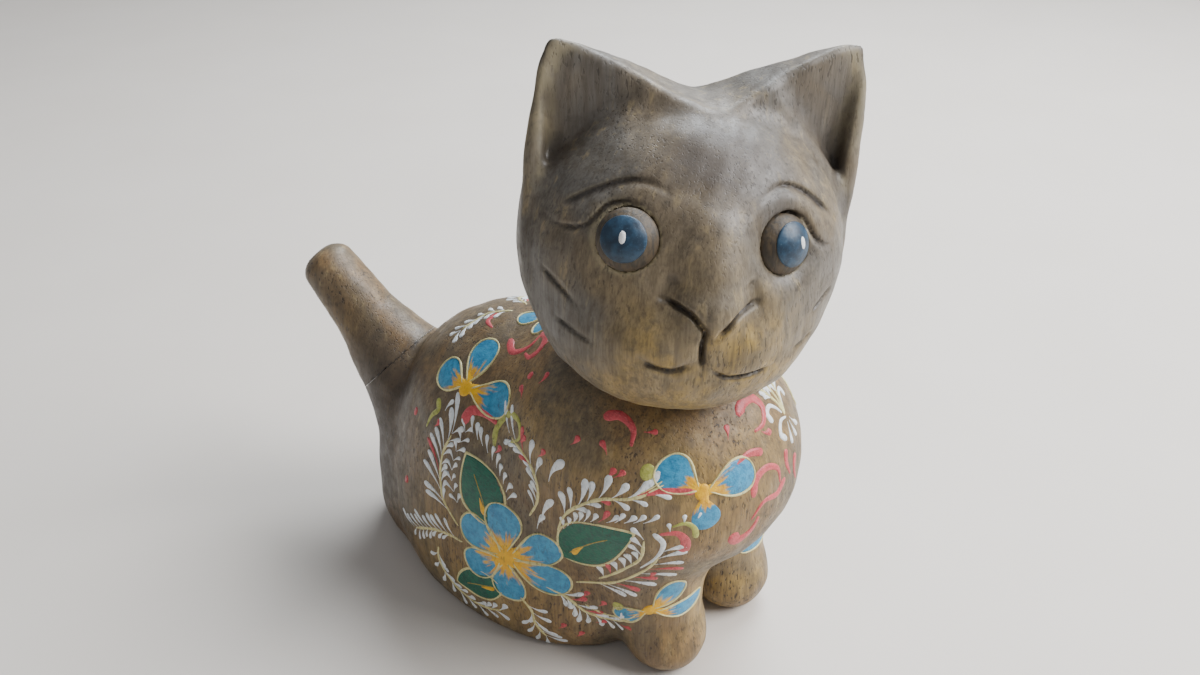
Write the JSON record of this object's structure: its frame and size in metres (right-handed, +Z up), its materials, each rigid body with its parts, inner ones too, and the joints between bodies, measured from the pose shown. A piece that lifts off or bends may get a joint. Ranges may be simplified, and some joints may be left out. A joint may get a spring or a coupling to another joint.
{
  "type": "carved cat figure",
  "caption": "Sitting cat carved from wood with its head turned aside and tail raised, painted with flowers and leaves, to stand on a shelf.",
  "frame": {"origin": "on the flat underside, below the middle of the body, on the plane the figure stands on", "axes": "+Z up; the body faces -Y and the tail points to +Y; +X is towards the cat's left side"},
  "size_m": [0.0604, 0.123, 0.1293],
  "materials": {
    "carved_body": "antique brown stain, satin, with painted flowers",
    "carved_head": "antique brown stain, satin, ochre on the muzzle",
    "carved_tail": "antique brown stain, satin",
    "painted_eye": "slate blue gloss paint over stained wood",
    "dowel_wood": "bare",
    "brushed_paint": "hand-brushed acrylic in blue, green, cream, white, coral and orange"
  },
  "bodies": {
    "root": {"body": "carved_body", "head": "carved_head", "tail": "carved_tail", "left_eye": "painted_eye", "right_eye": "painted_eye", "neck_dowel": "dowel_wood", "tail_dowel": "dowel_wood"}
  },
  "joints": []
}
